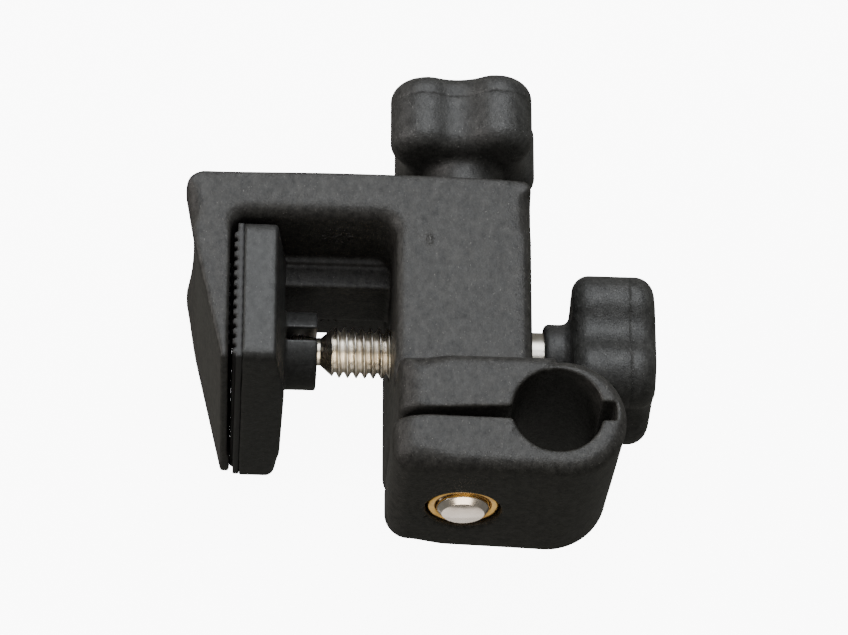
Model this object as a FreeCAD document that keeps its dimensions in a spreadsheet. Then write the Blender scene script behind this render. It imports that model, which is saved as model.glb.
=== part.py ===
import FreeCAD, Part
import math
import os

import Sketcher

# Super clamp: a moulded C-frame whose screw spindle drives a sliding pressure pad, and whose split
# spigot boss is squeezed by a second knob. Millimetres. The spigot bore runs along Z through the
# origin, +Y points from the boss to the arm, +X from the fixed jaw to the spindle knob, and the
# flat back of the frame is its lowest face.

DIMENSIONS = [
    # frame moulding: column, arm and fixed jaw share one depth along Z
    ("frame_back", -39.75),
    ("frame_front", 7.25),
    ("column_left", -28.4),
    ("column_right", -3.6),
    ("column_foot", 9.6),
    ("arm_under", 44.0),
    ("arm_top", 52.7),
    ("jaw_face", -58.3),
    ("jaw_crown_x", -67.3),
    ("jaw_crown_y", 48.0),
    ("jaw_knee_x", -65.0),
    ("jaw_knee_y", 36.7),
    ("jaw_tip_x", -59.7),
    ("jaw_tip_y", 13.8),
    ("throat_radius", 3.5),
    ("crown_radius", 3.6),
    ("edge_radius", 2.0),
    ("soft_radius", 1.2),
    # guide rail under the arm
    ("rail_under", 38.0),
    ("rail_half", 6.5),
    ("rail_root_under", 42.8),
    ("rail_root_half", 7.1),
    # date dials moulded into the underside of the arm, one each side of the rail
    ("dial_x", -39.0),
    ("dial_reach", 15.5),
    ("dial_radius", 3.25),
    ("dial_rim", 0.5),
    ("dial_depth", 0.25),
    # split spigot boss
    ("boss_half", 17.25),
    ("boss_top", 10.5),
    ("boss_end_x", 0.7),
    ("boss_end_y", -0.9),
    ("boss_radius", 11.4),
    ("bore_radius", 8.15),
    ("slit_x_outer", -26.9),
    ("slit_x_inner", -8.6),
    ("slit_upper_outer", -0.4),
    ("slit_upper_inner", 0.5),
    ("slit_lower_outer", -1.4),
    ("slit_lower_inner", -1.8),
    ("notch_x", 10.2),
    ("notch_upper", 1.9),
    ("notch_lower", -1.6),
    ("flap_left", -29.4),
    ("flap_bottom_left", -11.3),
    ("lip_radius", 3.2),
    ("hinge_x", 11.15),
    ("hinge_radius", 0.9),
    ("hinge_gap", 0.05),
    ("hinge_lip_rise", 0.55),
    ("hinge_shoulder_drop", 0.12),
    # three-eighths screw thread of both screws
    ("thread_radius", 4.7625),
    ("running_gap", 0.08),
    ("seat_gap", 0.05),
    ("screw_bevel", 0.8),
    # boss clamp screw, its nut and washers
    ("bolt_x", -15.8),
    ("bolt_z", -0.95),
    ("bolt_tip_radius", 3.8),
    ("bolt_length", 76.2),
    ("bolt_hole_radius", 5.1),
    ("flap_hole_radius", 5.4),
    ("head_across", 14.2),
    ("head_height", 5.9),
    ("jam_nut_height", 5.5),
    ("washer_thick", 1.2),
    ("washer_radius", 6.35),
    ("washer_sink", 1.0),
    ("nut_face_y", -10.1),
    ("nut_radius", 6.2),
    ("nut_collar", 2.0),
    ("nut_height", 5.0),
    ("nut_across", 11.2),
    ("nut_hole_radius", 6.9),
    ("nut_pocket_across", 12.4),
    ("nut_pocket_gap", 0.4),
    ("nut_pocket_top", -3.9),
    ("nut_washer_radius", 5.8),
    ("nut_washer_thick", 0.8),
    # screw spindle and the bush it turns in
    ("spindle_y", 27.8),
    ("spindle_z", -16.25),
    ("spindle_thread_x", -38.7),
    ("spindle_neck_x", -41.2),
    ("neck_radius", 2.6),
    ("ball_x", -45.2),
    ("ball_radius", 3.7),
    ("spindle_end_x", 17.5),
    ("bush_radius", 7.0),
    ("bush_inset", 0.5),
    ("bush_groove", 0.6),
    # sliding pressure pad
    ("pad_left", -55.9),
    ("pad_right", -48.1),
    ("pad_front_taper", 2.1),
    ("pad_front_run", 15.0),
    ("pad_back_taper", 1.1),
    ("pad_back_run", 12.0),
    ("pad_half", 23.2),
    ("pad_bottom", 14.1),
    ("pad_top", 42.0),
    ("pad_edge", 0.7),
    ("rail_gap", 0.4),
    ("socket_radius", 7.3),
    ("socket_end_x", -42.0),
    ("socket_slot_half", 1.25),
    ("socket_slot_x", -47.9),
    ("socket_mouth", 2.95),
    ("disc_radius", 3.0),
    ("disc_thick", 1.0),
    # ribbed rubber facings
    ("liner_base", 1.2),
    ("rib_height", 0.6),
    ("rib_pitch", 2.0),
    ("rib_width", 1.2),
    ("pad_rib_count", 13),
    ("jaw_liner_bottom", 19.4),
    ("jaw_liner_top", 37.4),
    ("jaw_liner_half", 17.0),
    ("jaw_liner_sink", 1.5),
    ("jaw_rib_count", 9),
    # four-lobed knob, shared by both screws; heights run outward from the hub's free end
    ("hub_radius", 6.4),
    ("hub_height", 4.9),
    ("lobe_offset", 6.8),
    ("lobe_radius", 6.4),
    ("valley_reach", 11.2),
    ("knob_seam", 15.6),
    ("knob_height", 20.8),
    ("knob_end_radius", 3.4),
    ("knob_inner_radius", 3.2),
    ("pocket_floor", 9.66),
    ("pocket_across", 14.5),
    ("cap_recess", 1.7),
    ("cap_recess_radius", 8.6),
    ("top_knob_y", 52.94),
    ("top_knob_turn", -6.5),
    ("spindle_knob_x", 0.3),
    ("spindle_knob_turn", -2.0),
]


class Size:
    """A length that carries its spreadsheet expression together with its present value."""

    def __init__(self, text, value):
        self.text = text
        self.value = value

    def _join(self, sign, other, value):
        return Size(f"({self.text} {sign} {text_of(other)})", value)

    def __add__(self, other):
        return self._join("+", other, self.value + value_of(other))

    def __sub__(self, other):
        return self._join("-", other, self.value - value_of(other))

    def __mul__(self, other):
        return self._join("*", other, self.value * value_of(other))

    def __truediv__(self, other):
        return self._join("/", other, self.value / value_of(other))

    def __neg__(self):
        return self * -1


def text_of(size):
    return size.text if isinstance(size, Size) else repr(float(size))


def value_of(size):
    return size.value if isinstance(size, Size) else float(size)


doc = FreeCAD.newDocument("super_clamp")
sheet = doc.addObject("Spreadsheet::Sheet", "dims")
dim = {}
for row, (alias, number) in enumerate(DIMENSIONS, start=1):
    sheet.set(f"A{row}", alias)
    sheet.set(f"B{row}", repr(number))
    sheet.setAlias(f"B{row}", alias)
    dim[alias] = Size(f"dims.{alias}", number)
doc.recompute()

PARTS = []


# ---------------------------------------------------------------- sketches and features

def new_body(name):
    """A sub-part: its label is the name of its node and of its file."""
    body = doc.addObject("PartDesign::Body", name)
    body.Label = name
    PARTS.append(body)
    return body


def place(body, rotation=None, x=None, y=None, z=None):
    """Turns the sub-part, then binds the given coordinates of its Placement to the sheet."""
    if rotation:
        body.Placement = FreeCAD.Placement(FreeCAD.Vector(), rotation)
    for axis, size in (("x", x), ("y", y), ("z", z)):
        if size is not None:
            body.setExpression(f"Placement.Base.{axis}", text_of(size))


def origin_feature(body, role):
    return [item for item in body.Origin.OriginFeatures if item.Role == role][0]


def new_sketch(body, name, plane, level=0.0):
    """A sketch on one of the body's own origin planes, lifted along the plane's normal."""
    sketch = body.newObject("Sketcher::SketchObject", name)
    sketch.AttachmentSupport = (origin_feature(body, plane), [""])
    sketch.MapMode = "FlatFace"
    sketch.setExpression("AttachmentOffset.Base.z", text_of(level))
    return sketch


def pin_point(sketch, geometry, point, x, y):
    """Fixes a point of the sketch by its two coordinates, each bound to the sheet."""
    for kind, size in (("DistanceX", x), ("DistanceY", y)):
        index = sketch.addConstraint(
            Sketcher.Constraint(kind, -1, 1, geometry, point, value_of(size)))
        sketch.setExpression(f"Constraints[{index}]", text_of(size))


def draw_polygon(sketch, corners):
    """A closed outline of straight lines through the given corners."""
    spots = [FreeCAD.Vector(value_of(x), value_of(y), 0) for x, y in corners]
    first = sketch.GeometryCount
    count = len(corners)
    for index, spot in enumerate(spots):
        sketch.addGeometry(Part.LineSegment(spot, spots[(index + 1) % count]))
    for index, (x, y) in enumerate(corners):
        following = first + (index + 1) % count
        sketch.addConstraint(Sketcher.Constraint("Coincident", first + index, 2, following, 1))
        pin_point(sketch, first + index, 1, x, y)


def draw_rectangle(sketch, x_low, y_low, x_high, y_high):
    draw_polygon(sketch, [(x_low, y_low), (x_high, y_low), (x_high, y_high), (x_low, y_high)])


def draw_circle(sketch, x, y, radius):
    centre = FreeCAD.Vector(value_of(x), value_of(y), 0)
    circle = Part.Circle(centre, FreeCAD.Vector(0, 0, 1), value_of(radius))
    geometry = sketch.addGeometry(circle)
    pin_point(sketch, geometry, 3, x, y)
    index = sketch.addConstraint(Sketcher.Constraint("Radius", geometry, value_of(radius)))
    sketch.setExpression(f"Constraints[{index}]", text_of(radius))


def draw_hexagon(sketch, across, x=0.0, y=0.0):
    """A regular hexagon with the given width across flats, centred on a point."""
    reach = across / math.sqrt(3)
    draw_polygon(sketch, [(reach * math.cos(math.radians(60 * corner)) + x,
                           reach * math.sin(math.radians(60 * corner)) + y)
                          for corner in range(6)])


def extrude(body, sketch, kind, length, backwards=False):
    """Pads or pockets a sketch by a length, along its normal or against it."""
    feature = body.newObject(f"PartDesign::{kind}", f"{sketch.Name}_{kind.lower()}")
    feature.Profile = sketch
    feature.setExpression("Length", text_of(length))
    feature.Reversed = backwards
    sketch.Visibility = False
    return feature


def pad(body, sketch, length):
    return extrude(body, sketch, "Pad", length)


def pocket(body, sketch, length):
    """Cuts along the sketch's normal, so the sketch lies at the low end of the cut."""
    before = settled_volume(body)
    feature = extrude(body, sketch, "Pocket", length, backwards=True)
    if settled_volume(body) > before - 1e-3:
        raise ValueError(f"{feature.Name} cuts nothing")


def settled_volume(body):
    doc.recompute()
    return body.Shape.Volume


def revolve(body, sketch, axis, kind="Revolution"):
    """Turns a sketch a full circle about one of the sketch's own axes."""
    feature = body.newObject(f"PartDesign::{kind}", f"{sketch.Name}_turned")
    feature.Profile = sketch
    feature.ReferenceAxis = (sketch, [axis])
    feature.Angle = 360


def repeat_feature(body, feature, axis_role, pitch, count):
    """A linear pattern of one feature along one of the body's origin axes."""
    pattern = body.newObject("PartDesign::LinearPattern", f"{feature.Name}_row")
    pattern.Originals = [feature]
    pattern.Direction = (origin_feature(body, axis_role), [""])
    pattern.setExpression("Length", text_of(pitch * (count - 1)))
    pattern.setExpression("Occurrences", text_of(count))
    body.Tip = pattern


def soften(body, name, radius, chooses):
    """Rounds every edge of the body that the chooser accepts."""
    doc.recompute()
    base = body.Tip
    names = [f"Edge{number}" for number, edge in enumerate(base.Shape.Edges, start=1)
             if chooses(edge)]
    if not names:
        raise ValueError(f"{name} finds no edge to round")
    fillet = body.newObject("PartDesign::Fillet", name)
    fillet.Base = (base, names)
    fillet.setExpression("Radius", text_of(radius))


def runs_at(edge, **levels):
    """Whether the whole edge lies at the given coordinates, such as x=2 or y=5 and z=1."""
    box = edge.BoundBox
    spans = {"x": (box.XMin, box.XMax), "y": (box.YMin, box.YMax), "z": (box.ZMin, box.ZMax)}
    return all(abs(end - value_of(level)) < 0.02
               for axis, level in levels.items() for end in spans[axis])


def middle(edge):
    return edge.BoundBox.Center


# ---------------------------------------------------------------- frame and boss mouldings

def draw_boss_half(body, name, corners):
    """A slab with corners, closed at its right end by the round of the boss."""
    slab = new_sketch(body, f"{name}_slab", "XY_Plane", -dim["boss_half"])
    draw_polygon(slab, corners)
    pad(body, slab, dim["boss_half"] * 2)
    end = new_sketch(body, f"{name}_end", "XY_Plane", -dim["boss_half"])
    draw_circle(end, dim["boss_end_x"], dim["boss_end_y"], dim["boss_radius"])
    pad(body, end, dim["boss_half"] * 2)


def cut_through_boss(body, name, draw):
    sketch = new_sketch(body, name, "XY_Plane", -dim["boss_half"] - 1)
    draw(sketch)
    pocket(body, sketch, dim["boss_half"] * 2 + 2)


def make_frame():
    """The C-frame: column, arm, fixed jaw, guide rail and the upper half of the split boss."""
    body = new_body("clamp_body")
    profile = new_sketch(body, "frame_profile", "XY_Plane", dim["frame_back"])
    draw_polygon(profile, [
        (dim["column_right"], dim["column_foot"]),
        (dim["column_right"], dim["arm_top"]),
        (dim["jaw_crown_x"], dim["arm_top"]),
        (dim["jaw_crown_x"], dim["jaw_crown_y"]),
        (dim["jaw_knee_x"], dim["jaw_knee_y"]),
        (dim["jaw_tip_x"], dim["jaw_tip_y"]),
        (dim["jaw_face"], dim["jaw_tip_y"]),
        (dim["jaw_face"], dim["arm_under"]),
        (dim["column_left"], dim["arm_under"]),
        (dim["column_left"], dim["column_foot"]),
    ])
    pad(body, profile, dim["frame_front"] - dim["frame_back"])
    soften(body, "throat_rounds", dim["throat_radius"],
           lambda edge: runs_at(edge, x=dim["jaw_face"], y=dim["arm_under"])
           or runs_at(edge, x=dim["column_left"], y=dim["arm_under"]))
    soften(body, "crown_round", dim["crown_radius"],
           lambda edge: runs_at(edge, x=dim["jaw_crown_x"], y=dim["arm_top"]))
    soften(body, "column_rounds", dim["edge_radius"],
           lambda edge: runs_at(edge, x=dim["column_right"], z=dim["frame_front"])
           or runs_at(edge, x=dim["column_right"], z=dim["frame_back"])
           or runs_at(edge, x=dim["column_right"], y=dim["arm_top"])
           or runs_at(edge, x=dim["column_left"], z=dim["frame_back"])
           or runs_at(edge, x=dim["column_left"], z=dim["frame_front"]))

    for name, under, half in (("rail", dim["rail_under"], dim["rail_half"]),
                              ("rail_root", dim["rail_root_under"], dim["rail_root_half"])):
        sketch = new_sketch(body, name, "XY_Plane", dim["spindle_z"] - half)
        draw_rectangle(sketch, dim["jaw_face"] - 1, under, dim["column_left"] + 1,
                       dim["arm_under"] + 1)
        pad(body, sketch, half * 2)

    for name, side in (("front_dial", 1), ("back_dial", -1)):
        dial = new_sketch(body, name, "XZ_Plane", -(dim["arm_under"] + dim["dial_depth"]))
        for radius in (dim["dial_radius"], dim["dial_radius"] - dim["dial_rim"]):
            draw_circle(dial, dim["dial_x"], dim["spindle_z"] + dim["dial_reach"] * side, radius)
        pocket(body, dial, dim["dial_depth"] + 1)

    draw_boss_half(body, "upper", [
        (dim["column_left"], dim["boss_end_y"]),
        (dim["boss_end_x"], dim["boss_end_y"]),
        (dim["boss_end_x"], dim["boss_top"]),
        (dim["column_left"], dim["boss_top"]),
    ])
    cut_through_boss(body, "slit_upper_side", lambda sketch: draw_polygon(sketch, [
        (dim["flap_left"] - 2, dim["flap_bottom_left"] - 3),
        (dim["hinge_x"] + 3, dim["flap_bottom_left"] - 3),
        (dim["hinge_x"] + 3, dim["boss_end_y"] + dim["hinge_lip_rise"]),
        (dim["notch_x"], dim["boss_end_y"] + dim["hinge_lip_rise"]),
        (dim["notch_x"], dim["notch_upper"]),
        (dim["bore_radius"] / 2, dim["notch_upper"]),
        (dim["slit_x_inner"] / 2, dim["slit_upper_inner"]),
        (dim["slit_x_inner"], dim["slit_upper_inner"]),
        (dim["slit_x_outer"], dim["slit_upper_outer"]),
        (dim["flap_left"] - 2, dim["slit_upper_outer"]),
    ]))
    cut_through_boss(body, "upper_bore", lambda sketch: draw_circle(
        sketch, 0, 0, dim["bore_radius"]))
    cut_through_boss(body, "hinge_cup", lambda sketch: draw_circle(
        sketch, dim["hinge_x"], dim["boss_end_y"], dim["hinge_radius"] + dim["hinge_gap"]))
    soften(body, "slit_lip_round", dim["lip_radius"],
           lambda edge: runs_at(edge, x=dim["column_left"], y=dim["slit_upper_outer"]))

    bolt_hole = new_sketch(body, "bolt_hole", "XZ_Plane", -dim["arm_top"] - 1)
    draw_circle(bolt_hole, dim["bolt_x"], dim["bolt_z"], dim["bolt_hole_radius"])
    pocket(body, bolt_hole, dim["arm_top"] + 3)
    washer_seat = new_sketch(body, "washer_seat", "XZ_Plane", -dim["arm_top"] - 1)
    draw_circle(washer_seat, dim["bolt_x"], dim["bolt_z"],
                dim["washer_radius"] + dim["seat_gap"] * 2)
    pocket(body, washer_seat, dim["washer_sink"] + 1)

    spindle_hole = new_sketch(body, "spindle_hole", "YZ_Plane", dim["column_left"] - 1)
    draw_circle(spindle_hole, dim["spindle_y"], dim["spindle_z"],
                dim["thread_radius"] + dim["running_gap"] * 3)
    pocket(body, spindle_hole, dim["column_right"] - dim["column_left"] + 2)
    add_bush_cavity(body)

    liner_seat = new_sketch(body, "liner_seat", "YZ_Plane", dim["jaw_face"] - dim["jaw_liner_sink"])
    draw_rectangle(liner_seat, dim["jaw_liner_bottom"], dim["spindle_z"] - dim["jaw_liner_half"],
                   dim["jaw_liner_top"], dim["spindle_z"] + dim["jaw_liner_half"])
    pocket(body, liner_seat, dim["jaw_liner_sink"] + 1)


def draw_bush_profile(sketch, bore):
    """Half section of the bush, along the spindle axis: a sleeve with three keying grooves."""
    left = dim["column_left"] + dim["bush_inset"]
    right = dim["column_right"] - dim["bush_inset"]
    width = (right - left) / 7
    outer = dim["bush_radius"]
    inner = outer - dim["bush_groove"]
    corners = [(right, bore), (left, bore)]
    for step in range(7):
        radius = outer if step % 2 == 0 else inner
        corners += [(left + width * step, radius), (left + width * (step + 1), radius)]
    draw_polygon(sketch, corners)


def add_bush_cavity(body):
    """The cavity that the moulded-in bush fills."""
    cavity = new_sketch(body, "bush_cavity", "XY_Plane", dim["spindle_z"])
    cavity.setExpression("AttachmentOffset.Base.y", text_of(dim["spindle_y"]))
    draw_bush_profile(cavity, dim["thread_radius"])
    revolve(body, cavity, "H_Axis", kind="Groove")


def on_outer_face_rim(edge):
    """An edge of the boss's front or back face that belongs to its outside, not to the bore."""
    box = edge.BoundBox
    on_face = box.ZLength < 0.02 and abs(abs(box.ZMin) - value_of(dim["boss_half"])) < 0.02
    low_enough = box.YMin < value_of(dim["slit_lower_inner"]) - value_of(dim["bore_radius"]) + 1.5
    return on_face and (low_enough and box.YMin < -value_of(dim["bore_radius"]) - 0.5
                        or box.XMax < value_of(dim["slit_x_outer"]) + 0.5)


def make_flap():
    """The lower half of the split boss, which swings on the hinge web at the boss's right end."""
    body = new_body("clamp_flap")
    bottom_right = dim["boss_end_y"] - dim["boss_radius"]
    draw_boss_half(body, "lower", [
        (dim["flap_left"], dim["boss_end_y"]),
        (dim["flap_left"], dim["flap_bottom_left"]),
        (dim["boss_end_x"], bottom_right),
        (dim["boss_end_x"], dim["boss_end_y"]),
    ])
    cut_through_boss(body, "slit_lower_side", lambda sketch: draw_polygon(sketch, [
        (dim["flap_left"] - 2, dim["boss_top"] + 2),
        (dim["flap_left"] - 2, dim["slit_lower_outer"]),
        (dim["slit_x_outer"], dim["slit_lower_outer"]),
        (dim["slit_x_inner"], dim["slit_lower_inner"]),
        (dim["slit_x_inner"] / 2, dim["slit_lower_inner"]),
        (dim["bore_radius"] / 2, dim["notch_lower"]),
        (dim["notch_x"], dim["notch_lower"]),
        (dim["notch_x"], dim["boss_end_y"] - dim["hinge_shoulder_drop"]),
        (dim["hinge_x"] + 3, dim["boss_end_y"] - dim["hinge_shoulder_drop"]),
        (dim["hinge_x"] + 3, dim["boss_top"] + 2),
    ]))
    cut_through_boss(body, "lower_bore", lambda sketch: draw_circle(
        sketch, 0, 0, dim["bore_radius"]))
    soften(body, "flap_left_rounds", dim["lip_radius"],
           lambda edge: runs_at(edge, x=dim["flap_left"]) and edge.BoundBox.ZLength > 30)
    soften(body, "flap_face_rounds", dim["edge_radius"], on_outer_face_rim)
    knuckle = new_sketch(body, "hinge_knuckle", "XY_Plane", -dim["boss_half"])
    draw_circle(knuckle, dim["hinge_x"], dim["boss_end_y"], dim["hinge_radius"])
    pad(body, knuckle, dim["boss_half"] * 2)

    bolt_hole = new_sketch(body, "flap_bolt_hole", "XZ_Plane", -dim["boss_end_y"] - 1)
    draw_circle(bolt_hole, dim["bolt_x"], dim["bolt_z"], dim["flap_hole_radius"])
    pocket(body, bolt_hole, dim["boss_radius"] + 3)
    add_nut_pocket(body)


def add_nut_pocket(body):
    """The round and hexagonal pocket in the flap's underside, which keeps the nut from turning."""
    floor = dim["boss_end_y"] - dim["boss_radius"] - 1
    round_top = dim["nut_face_y"] + dim["nut_collar"] + dim["nut_pocket_gap"]
    round_pocket = new_sketch(body, "nut_round_pocket", "XZ_Plane", -round_top)
    draw_circle(round_pocket, dim["bolt_x"], dim["bolt_z"], dim["nut_hole_radius"])
    pocket(body, round_pocket, round_top - floor)
    hex_pocket = new_sketch(body, "nut_hex_pocket", "XZ_Plane", -dim["nut_pocket_top"])
    draw_hexagon(hex_pocket, dim["nut_pocket_across"], dim["bolt_x"], dim["bolt_z"])
    pocket(body, hex_pocket, dim["nut_pocket_top"] - round_top + 0.5)


def make_jaw_liner():
    """Ribbed rubber facing let into the fixed jaw."""
    make_liner("fixed_jaw_liner", dim["jaw_face"] - dim["jaw_liner_sink"], 1,
               dim["jaw_liner_bottom"] + dim["seat_gap"],
               dim["jaw_liner_top"] - dim["seat_gap"],
               dim["jaw_liner_half"] - dim["seat_gap"], dim["jaw_rib_count"])


def make_pad_liner():
    """Ribbed rubber facing bonded to the left face of the pressure pad, notched like the pad."""
    body = make_liner("pressure_pad_liner", dim["pad_left"], -1,
                      dim["pad_bottom"], dim["pad_top"] - dim["soft_radius"],
                      dim["pad_half"], dim["pad_rib_count"])
    thickness = dim["liner_base"] + dim["rib_height"]
    cut_rail_notch(body, dim["pad_left"] - thickness, dim["pad_left"], dim["spindle_z"])


def cut_rail_notch(body, left, right, centre=0.0):
    """The notch that lets a sliding piece straddle the rail, cut between two levels of X."""
    notch = new_sketch(body, f"{body.Name}_rail_notch", "YZ_Plane", left - 1)
    half = dim["rail_half"] + dim["rail_gap"]
    draw_rectangle(notch, dim["rail_under"] - dim["rail_gap"], -half + centre,
                   dim["pad_top"] + 1, half + centre)
    pocket(body, notch, right - left + 2)


def make_liner(name, back_x, side, bottom, top, half, rib_count):
    """A thin sheet standing on the plane x = back_x, with round-topped ribs along Z."""
    body = new_body(name)
    face_x = back_x + dim["liner_base"] * side
    crest_x = face_x + dim["rib_height"] * side
    sheet_sketch = new_sketch(body, f"{name}_sheet", "XY_Plane", dim["spindle_z"] - half)
    draw_rectangle(sheet_sketch, back_x, bottom, face_x, top)
    pad(body, sheet_sketch, half * 2)
    margin = (top - bottom - dim["rib_pitch"] * (rib_count - 1)) / 2
    rib_y = bottom + margin
    rib = new_sketch(body, f"{name}_rib", "XY_Plane", dim["spindle_z"] - half)
    draw_polygon(rib, [
        (back_x + dim["liner_base"] / 2 * side, rib_y - dim["rib_width"] / 2),
        (face_x, rib_y - dim["rib_width"] / 2),
        (crest_x, rib_y - dim["rib_width"] / 5),
        (crest_x, rib_y + dim["rib_width"] / 5),
        (face_x, rib_y + dim["rib_width"] / 2),
        (back_x + dim["liner_base"] / 2 * side, rib_y + dim["rib_width"] / 2),
    ])
    repeat_feature(body, pad(body, rib, half * 2), "Y_Axis", dim["rib_pitch"], rib_count)
    return body


# ---------------------------------------------------------------- pressure pad

def make_pad():
    """The sliding pad: tapered back, a notch that rides the rail and the socket of the ball."""
    body = new_body("pressure_pad")
    place(body, z=dim["spindle_z"])
    plan = new_sketch(body, "pad_plan", "XZ_Plane", -dim["pad_top"])
    draw_polygon(plan, [
        (dim["pad_left"], -dim["pad_half"]),
        (dim["pad_right"] - dim["pad_back_taper"], -dim["pad_half"]),
        (dim["pad_right"], dim["pad_back_run"] - dim["pad_half"]),
        (dim["pad_right"], dim["pad_half"] - dim["pad_front_run"]),
        (dim["pad_right"] - dim["pad_front_taper"], dim["pad_half"]),
        (dim["pad_left"], dim["pad_half"]),
    ])
    pad(body, plan, dim["pad_top"] - dim["pad_bottom"])
    soften(body, "pad_rounds", dim["pad_edge"],
           lambda edge: middle(edge).x > value_of(dim["pad_right"] - dim["pad_front_taper"]) - 0.1
           and (runs_at(edge, y=dim["pad_top"]) or runs_at(edge, y=dim["pad_bottom"])
                or abs(abs(middle(edge).z) - value_of(dim["pad_half"])) < 0.02))
    cut_rail_notch(body, dim["pad_left"], dim["pad_right"])

    socket = new_sketch(body, "socket", "YZ_Plane", dim["pad_right"] - 1)
    draw_circle(socket, dim["spindle_y"], 0, dim["socket_radius"])
    pad(body, socket, dim["socket_end_x"] - dim["pad_right"] + 1)
    slot = new_sketch(body, "socket_slot", "YZ_Plane", dim["socket_slot_x"])
    draw_rectangle(slot, dim["spindle_y"] - dim["socket_slot_half"], -dim["socket_radius"] - 1,
                   dim["spindle_y"] + dim["socket_slot_half"], dim["socket_radius"] + 1)
    pocket(body, slot, dim["socket_end_x"] - dim["socket_slot_x"] + 1)
    mouth = new_sketch(body, "socket_mouth", "YZ_Plane", dim["ball_x"])
    draw_circle(mouth, dim["spindle_y"], 0, dim["socket_mouth"])
    pocket(body, mouth, dim["socket_end_x"] - dim["ball_x"] + 1)
    seat = new_sketch(body, "disc_seat", "YZ_Plane", disc_back())
    draw_circle(seat, dim["spindle_y"], 0, dim["disc_radius"] + dim["seat_gap"])
    pocket(body, seat, dim["ball_x"] - disc_back())
    cavity = body.newObject("PartDesign::SubtractiveSphere", "ball_cavity")
    cavity.setExpression("Radius", text_of(dim["ball_radius"] + dim["running_gap"]))
    cavity.setExpression("AttachmentOffset.Base.x", text_of(dim["ball_x"]))
    cavity.setExpression("AttachmentOffset.Base.y", text_of(dim["spindle_y"]))
    cavity.AttachmentSupport = (origin_feature(body, "XY_Plane"), [""])
    cavity.MapMode = "FlatFace"


def disc_back():
    """Where the thrust disc's back stands: the disc nearly touches the ball's end."""
    return dim["ball_x"] - dim["ball_radius"] - dim["seat_gap"] - dim["disc_thick"]


def make_disc():
    """Steel disc at the bottom of the socket, which takes the spindle's thrust."""
    body = new_body("thrust_disc")
    place(body, y=dim["spindle_y"], z=dim["spindle_z"])
    sketch = new_sketch(body, "disc", "YZ_Plane", disc_back())
    draw_circle(sketch, 0, 0, dim["disc_radius"])
    pad(body, sketch, dim["disc_thick"])


# ---------------------------------------------------------------- spindle and bush

def make_bush():
    """Brass bush moulded into the column. Its bore clears the crests of the spindle's thread."""
    body = new_body("spindle_bush")
    place(body, y=dim["spindle_y"], z=dim["spindle_z"])
    section = new_sketch(body, "bush_section", "XY_Plane")
    draw_bush_profile(section, dim["thread_radius"] + dim["running_gap"])
    revolve(body, section, "H_Axis")


def make_spindle():
    """The turned spindle: ball end, neck, cone and the threaded shank up to the knob's nut."""
    body = new_body("spindle_screw")
    place(body, y=dim["spindle_y"], z=dim["spindle_z"])
    section = new_sketch(body, "spindle_section", "XY_Plane")
    draw_polygon(section, [
        (dim["ball_x"], 0),
        (dim["spindle_end_x"], 0),
        (dim["spindle_end_x"], dim["thread_radius"] - dim["screw_bevel"]),
        (dim["spindle_end_x"] - dim["screw_bevel"], dim["thread_radius"]),
        (dim["spindle_thread_x"], dim["thread_radius"]),
        (dim["spindle_neck_x"], dim["neck_radius"]),
        (dim["ball_x"], dim["neck_radius"]),
    ])
    revolve(body, section, "H_Axis")
    ball = body.newObject("PartDesign::AdditiveSphere", "ball_end")
    ball.setExpression("Radius", text_of(dim["ball_radius"]))
    ball.setExpression("AttachmentOffset.Base.x", text_of(dim["ball_x"]))
    ball.AttachmentSupport = (origin_feature(body, "XY_Plane"), [""])
    ball.MapMode = "FlatFace"


# ---------------------------------------------------------------- knobs

AXIS_TO_Y = FreeCAD.Rotation(FreeCAD.Vector(1, 0, 0), -90)
AXIS_TO_X = FreeCAD.Rotation(FreeCAD.Vector(0, 1, 0), 90)


def turned(angle):
    """A turn about the knob's own axis, so that its lobes stand as they rest on the clamp."""
    return FreeCAD.Rotation(FreeCAD.Vector(0, 0, 1), angle.value)


def place_on_screw(body, screw):
    """Knob pieces are drawn with the screw's axis along Z and the hub's free end at z = 0."""
    if screw == "bolt":
        place(body, AXIS_TO_Y.multiply(turned(dim["top_knob_turn"])),
              dim["bolt_x"], dim["top_knob_y"], dim["bolt_z"])
    else:
        place(body, AXIS_TO_X.multiply(turned(dim["spindle_knob_turn"])),
              dim["spindle_knob_x"], dim["spindle_y"], dim["spindle_z"])


def draw_arc(sketch, x, y, radius, start, end):
    """An arc of bound radius, anticlockwise between two angles in degrees."""
    centre = FreeCAD.Vector(value_of(x), value_of(y), 0)
    circle = Part.Circle(centre, FreeCAD.Vector(0, 0, 1), value_of(radius))
    geometry = sketch.addGeometry(
        Part.ArcOfCircle(circle, math.radians(start), math.radians(end)))
    index = sketch.addConstraint(Sketcher.Constraint("Radius", geometry, value_of(radius)))
    sketch.setExpression(f"Constraints[{index}]", text_of(radius))
    return geometry


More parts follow.
